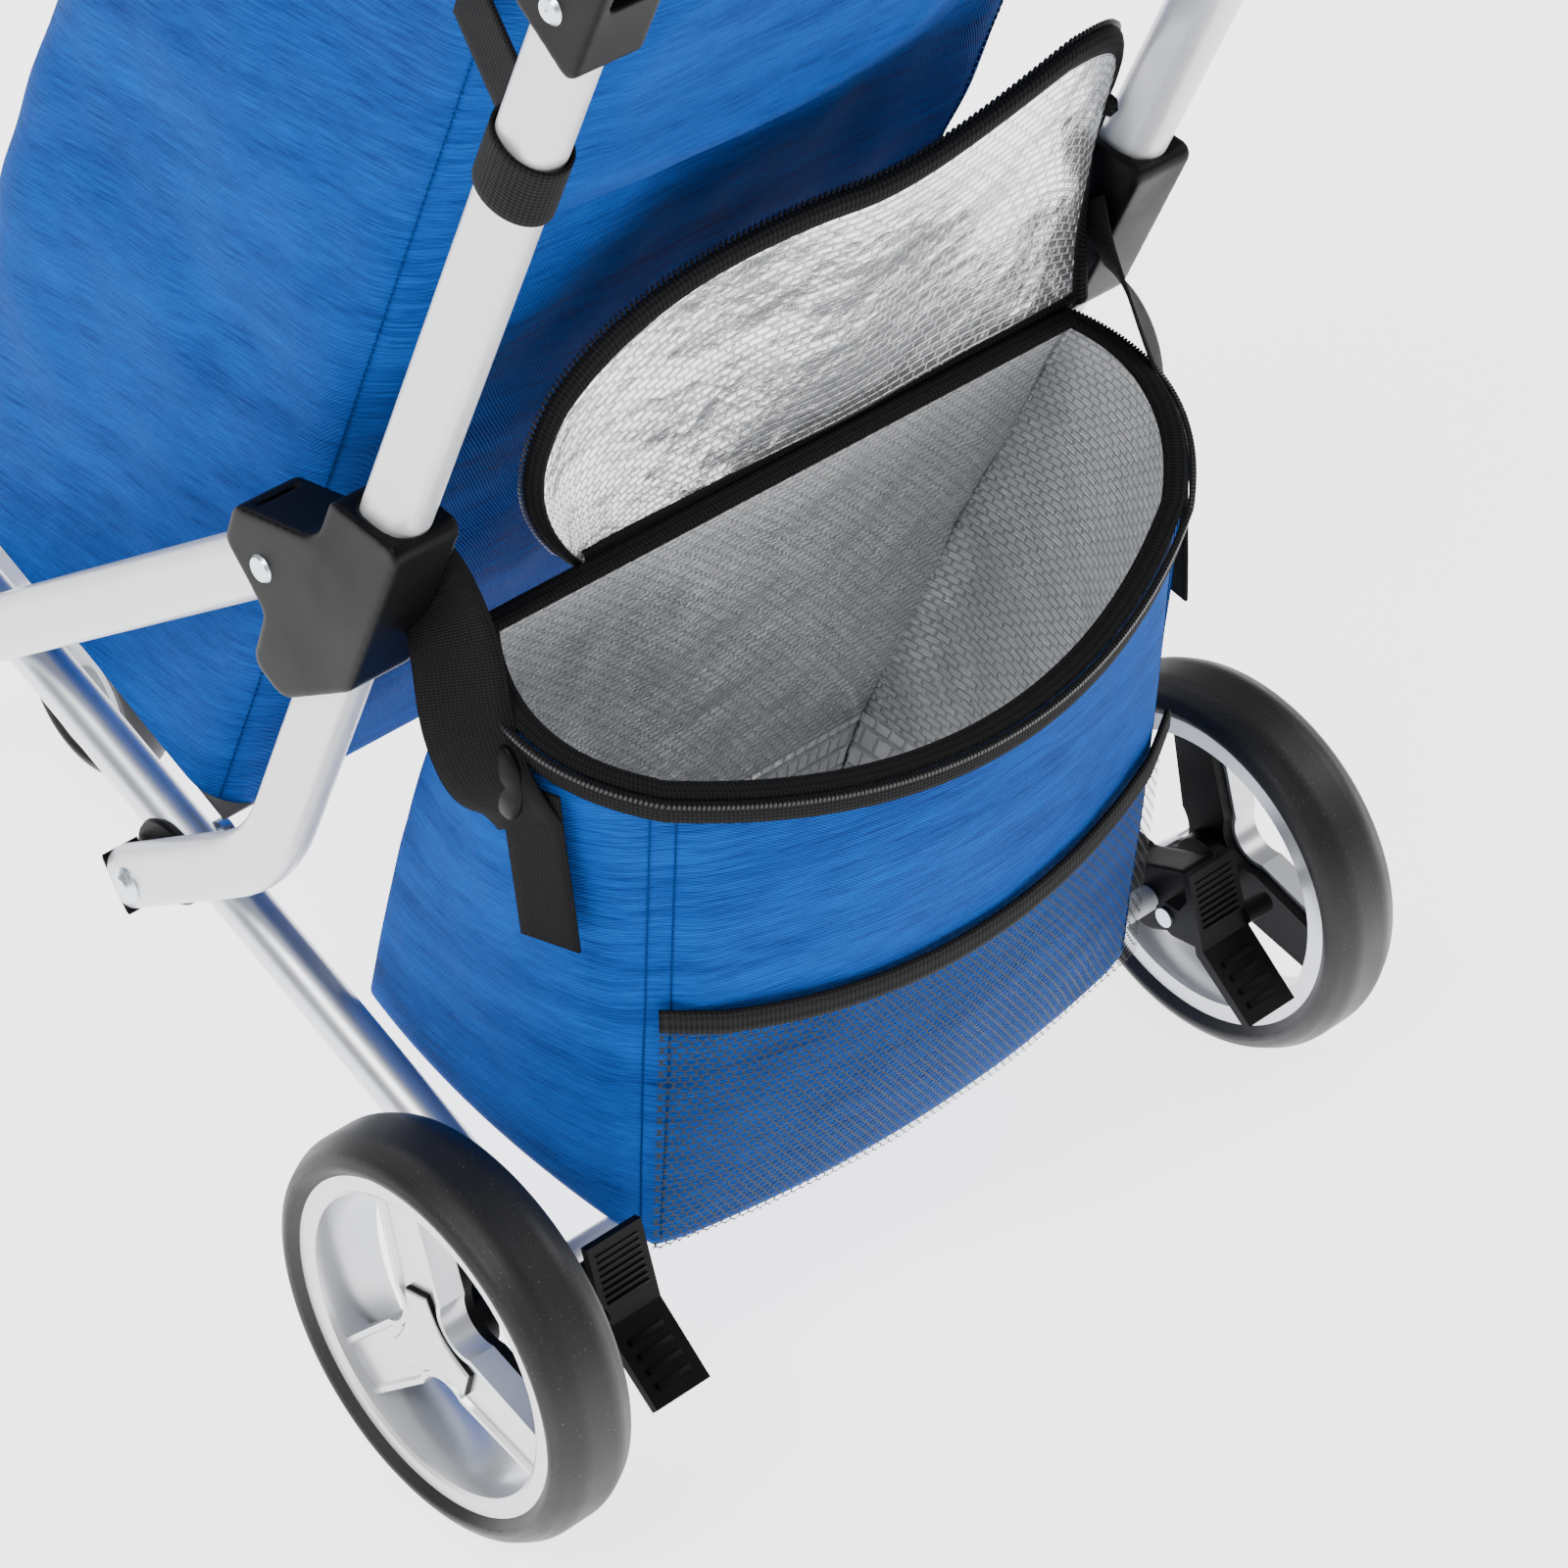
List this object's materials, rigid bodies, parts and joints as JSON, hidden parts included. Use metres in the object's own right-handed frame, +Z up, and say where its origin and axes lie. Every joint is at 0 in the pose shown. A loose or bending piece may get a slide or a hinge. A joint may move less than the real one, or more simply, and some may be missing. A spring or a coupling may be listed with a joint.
{
  "type": "shopping trolley",
  "caption": "Folding shopping trolley: tall fabric bag on a tube frame, insulated cooler bag behind it, braked rear wheels and a swivelling front caster.",
  "frame": {"origin": "on the floor under the centre of the whole trolley", "axes": "+Z up, +Y the way it is pushed (the person stands on the -Y side), +X to the pusher's right"},
  "size_m": [0.5266, 0.8004, 0.9687],
  "materials": {
    "axle_sleeve": "silver powder coat, satin",
    "bag_hanger_left": "ribbed webbing",
    "bag_hanger_right": "ribbed webbing",
    "bag_lid": "twill polyester",
    "base_board": "textured board",
    "bracket_rivets": "zinc plated",
    "brake_pedal_left": "fine-grained moulding",
    "brake_pedal_right": "fine-grained moulding",
    "caster_axle": "zinc plated",
    "caster_fork": "fine-grained moulding",
    "caster_housing": "fine-grained moulding",
    "caster_rim_left": "grey moulding",
    "caster_rim_right": "grey moulding",
    "caster_tyre_left": "dull rubber",
    "caster_tyre_right": "dull rubber",
    "cooler_bag": "twill outside, foil lining inside",
    "cooler_lid": "foil-faced insulated panel",
    "cooler_strap_left": "ribbed webbing",
    "cooler_strap_right": "ribbed webbing",
    "foot_plugs": "fine-grained moulding",
    "front_leg": "silver powder coat, satin",
    "handle_button_left": "fine-grained moulding",
    "handle_button_right": "fine-grained moulding",
    "handle_grip": "foam, matt",
    "handle_pins": "zinc plated",
    "handle_tube": "silver powder coat, satin",
    "hub_left": "fine-grained moulding",
    "hub_right": "fine-grained moulding",
    "hub_rivets": "zinc plated",
    "joint_screws": "zinc plated",
    "leg_bolts": "zinc plated",
    "leg_pivot_nuts": "zinc plated",
    "main_bag": "twill polyester",
    "mesh_pocket": "open net",
    "pedal_pins": "zinc plated",
    "pivot_bolts": "zinc plated",
    "pivot_spacers": "fine-grained moulding",
    "platform_tube": "silver powder coat, satin",
    "rear_axle": "zinc plated",
    "rear_bracket_left": "fine-grained moulding",
    "rear_bracket_right": "fine-grained moulding",
    "rear_pocket": "twill polyester",
    "release_button_left": "red moulding",
    "release_button_right": "red moulding",
    "side_tube_left": "silver powder coat, satin",
    "side_tube_right": "silver powder coat, satin",
    "strap_snap_left": "fine-grained moulding",
    "strap_snap_right": "fine-grained moulding",
    "top_joint_left": "fine-grained moulding",
    "top_joint_right": "fine-grained moulding",
    "wheel_cap_left": "silver moulding",
    "wheel_cap_right": "silver moulding",
    "wheel_rim_left": "silver-painted moulding",
    "wheel_rim_right": "silver-painted moulding",
    "wheel_tyre_left": "dull rubber",
    "wheel_tyre_right": "dull rubber"
  },
  "bodies": {
    "frame": {"side_tube_left": "side_tube_left", "side_tube_right": "side_tube_right", "foot_plugs": "foot_plugs", "pivot_bolts": "pivot_bolts", "pivot_spacers": "pivot_spacers", "top_joint_left": "top_joint_left", "top_joint_right": "top_joint_right", "joint_screws": "joint_screws", "handle_pins": "handle_pins", "main_bag": "main_bag", "base_board": "base_board", "rear_pocket": "rear_pocket", "bag_hanger_left": "bag_hanger_left", "bag_hanger_right": "bag_hanger_right", "cooler_bag": "cooler_bag", "mesh_pocket": "mesh_pocket", "cooler_strap_left": "cooler_strap_left", "cooler_strap_right": "cooler_strap_right", "strap_snap_left": "strap_snap_left", "strap_snap_right": "strap_snap_right"},
    "main_lid": {"bag_lid": "bag_lid"},
    "cooler_lid": {"cooler_lid": "cooler_lid"},
    "handle": {"handle_tube": "handle_tube", "handle_grip": "handle_grip"},
    "handle_button_left": {"handle_button_left": "handle_button_left"},
    "handle_button_right": {"handle_button_right": "handle_button_right"},
    "sliders": {"hub_left": "hub_left", "hub_right": "hub_right", "hub_rivets": "hub_rivets"},
    "release_button_left": {"release_button_left": "release_button_left"},
    "release_button_right": {"release_button_right": "release_button_right"},
    "front_leg": {"front_leg": "front_leg", "leg_bolts": "leg_bolts", "caster_housing": "caster_housing"},
    "caster_fork": {"caster_fork": "caster_fork", "caster_axle": "caster_axle"},
    "front_wheel_left": {"caster_rim_left": "caster_rim_left", "caster_tyre_left": "caster_tyre_left"},
    "front_wheel_right": {"caster_rim_right": "caster_rim_right", "caster_tyre_right": "caster_tyre_right"},
    "platform": {"platform_tube": "platform_tube", "leg_pivot_nuts": "leg_pivot_nuts", "rear_bracket_left": "rear_bracket_left", "rear_bracket_right": "rear_bracket_right", "bracket_rivets": "bracket_rivets", "rear_axle": "rear_axle", "axle_sleeve": "axle_sleeve", "pedal_pins": "pedal_pins", "wheel_cap_left": "wheel_cap_left", "wheel_cap_right": "wheel_cap_right"},
    "rear_wheel_left": {"wheel_rim_left": "wheel_rim_left", "wheel_tyre_left": "wheel_tyre_left"},
    "rear_wheel_right": {"wheel_rim_right": "wheel_rim_right", "wheel_tyre_right": "wheel_tyre_right"},
    "brake_left": {"brake_pedal_left": "brake_pedal_left"},
    "brake_right": {"brake_pedal_right": "brake_pedal_right"}
  },
  "joints": [
    {"name": "frame_fold", "type": "hinge", "parent": "frame", "child": "platform", "pos_m": [0, 0.07, 0.187], "axis": [1, 0, 0], "range_deg": [0, 84], "deforming": ["main_bag", "base_board", "rear_pocket", "cooler_bag", "mesh_pocket"]},
    {"name": "hub_slide", "type": "slide", "parent": "frame", "child": "sliders", "axis": [0, -0.3981, 0.9173], "range_m": [0, 0.2]},
    {"name": "leg_fold", "type": "hinge", "parent": "sliders", "child": "front_leg", "pos_m": [0, -0.06003, 0.43613], "axis": [1, 0, 0], "range_deg": [-24.2, 0]},
    {"name": "rear_wheel_left_spin", "type": "hinge", "parent": "platform", "child": "rear_wheel_left", "pos_m": [0, -0.18, 0.1], "axis": [1, 0, 0], "continuous": true},
    {"name": "rear_wheel_right_spin", "type": "hinge", "parent": "platform", "child": "rear_wheel_right", "pos_m": [0, -0.18, 0.1], "axis": [1, 0, 0], "continuous": true},
    {"name": "brake_left_rock", "type": "hinge", "parent": "platform", "child": "brake_left", "pos_m": [0, -0.21, 0.118], "axis": [1, 0, 0], "range_deg": [0, 14]},
    {"name": "brake_right_rock", "type": "hinge", "parent": "platform", "child": "brake_right", "pos_m": [0, -0.21, 0.118], "axis": [1, 0, 0], "range_deg": [0, 14]},
    {"name": "caster_swivel", "type": "hinge", "parent": "front_leg", "child": "caster_fork", "pos_m": [0, 0.37601, 0.1], "axis": [0, 0, 1], "continuous": true},
    {"name": "front_wheel_left_spin", "type": "hinge", "parent": "caster_fork", "child": "front_wheel_left", "pos_m": [0, 0.35001, 0.05], "axis": [1, 0, 0], "continuous": true},
    {"name": "front_wheel_right_spin", "type": "hinge", "parent": "caster_fork", "child": "front_wheel_right", "pos_m": [0, 0.35001, 0.05], "axis": [1, 0, 0], "continuous": true},
    {"name": "handle_tilt", "type": "hinge", "parent": "frame", "child": "handle", "pos_m": [0, -0.27275, 0.8203], "axis": [1, 0, 0], "range_deg": [-127, 0]},
    {"name": "handle_button_left_press", "type": "slide", "parent": "frame", "child": "handle_button_left", "axis": [-1, 0, 0], "range_m": [0, 0.0045], "stiffness_N_per_m": 300},
    {"name": "handle_button_right_press", "type": "slide", "parent": "frame", "child": "handle_button_right", "axis": [1, 0, 0], "range_m": [0, 0.0045], "stiffness_N_per_m": 300},
    {"name": "release_left_press", "type": "slide", "parent": "sliders", "child": "release_button_left", "axis": [0, -0.3981, 0.9173], "range_m": [0, 0.0045], "stiffness_N_per_m": 300},
    {"name": "release_right_press", "type": "slide", "parent": "sliders", "child": "release_button_right", "axis": [0, -0.3981, 0.9173], "range_m": [0, 0.0045], "stiffness_N_per_m": 300},
    {"name": "main_lid_hinge", "type": "hinge", "parent": "frame", "child": "main_lid", "pos_m": [0, -0.17477, 0.73593], "axis": [1, 0, 0], "range_deg": [0, 100]},
    {"name": "cooler_lid_hinge", "type": "hinge", "parent": "frame", "child": "cooler_lid", "pos_m": [0, -0.13, 0.418], "axis": [1, 0, 0], "range_deg": [0, 114]}
  ],
  "couplings": [
    {"joint": "hub_slide", "follows": "frame_fold", "m_per_rad": 0.13615},
    {"joint": "leg_fold", "follows": "frame_fold", "ratio": -0.2857}
  ]
}
